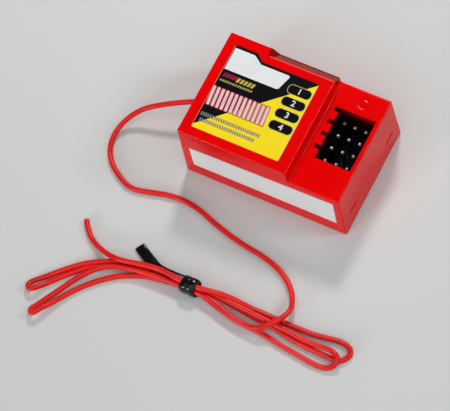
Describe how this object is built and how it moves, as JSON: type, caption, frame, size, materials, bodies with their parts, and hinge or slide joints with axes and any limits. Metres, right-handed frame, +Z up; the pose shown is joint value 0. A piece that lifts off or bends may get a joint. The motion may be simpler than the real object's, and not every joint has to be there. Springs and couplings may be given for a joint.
{
  "type": "rc receiver",
  "caption": "Small radio-control receiver: stepped red case, keyed pin bay on a lower deck, plug-in crystal at the back and a thin wire aerial tied in a hank",
  "frame": {"origin": "middle of the case's flat bottom, on the surface it stands on", "axes": "+X along the case's long side towards the pin bay, +Y towards the crystal at the back, +Z up"},
  "size_m": [0.0711, 0.0708, 0.019],
  "materials": {
    "red_moulding": "smooth moulded, slightly glossy",
    "label_film": "printed film, satin",
    "band_film": "white printed film",
    "board_laminate": "green solder resist",
    "black_nylon": "moulded nylon",
    "pin_plating": "plated square pins",
    "crystal_shell": "drawn nickel can",
    "sleeve_plastic": "pale moulded grip",
    "contact_plating": "plated contacts",
    "coil_shield": "bright shielding can",
    "ferrite_core": "ferrite, matt",
    "chip_body": "moulded epoxy",
    "lead_tin": "tinned leads",
    "filter_resin": "dipped resin",
    "capacitor_sleeve": "shrunk sleeve",
    "chip_ceramic": "ceramic body",
    "wire_jacket": "soft red insulation",
    "tie_plastic": "glossy black tie"
  },
  "bodies": {
    "root": {"top_cover": "red_moulding", "bottom_cover": "red_moulding", "top_label": "label_film", "band_label": "band_film", "main_board": "board_laminate", "header_base": "black_nylon", "header_pins": "pin_plating", "crystal_can": "crystal_shell", "crystal_sleeve": "sleeve_plastic", "crystal_pins": "lead_tin", "crystal_contacts": "contact_plating", "crystal_socket": "black_nylon", "front_coil_can": "coil_shield", "back_coil_can": "coil_shield", "aerial_coil_can": "coil_shield", "front_coil_core": "ferrite_core", "back_coil_core": "ferrite_core", "aerial_coil_core": "ferrite_core", "receiver_chip": "chip_body", "receiver_chip_leads": "lead_tin", "decoder_chip": "chip_body", "decoder_chip_leads": "lead_tin", "ceramic_filter": "filter_resin", "supply_capacitor": "capacitor_sleeve", "signal_capacitor": "capacitor_sleeve", "regulator": "chip_body", "regulator_legs": "lead_tin", "chip_resistors": "chip_body", "chip_capacitors": "chip_ceramic", "switching_transistors": "chip_body", "antenna_root": "wire_jacket", "antenna_lead": "wire_jacket", "antenna_hank": "wire_jacket", "antenna_tail": "wire_jacket", "hank_tie": "tie_plastic"}
  },
  "joints": []
}
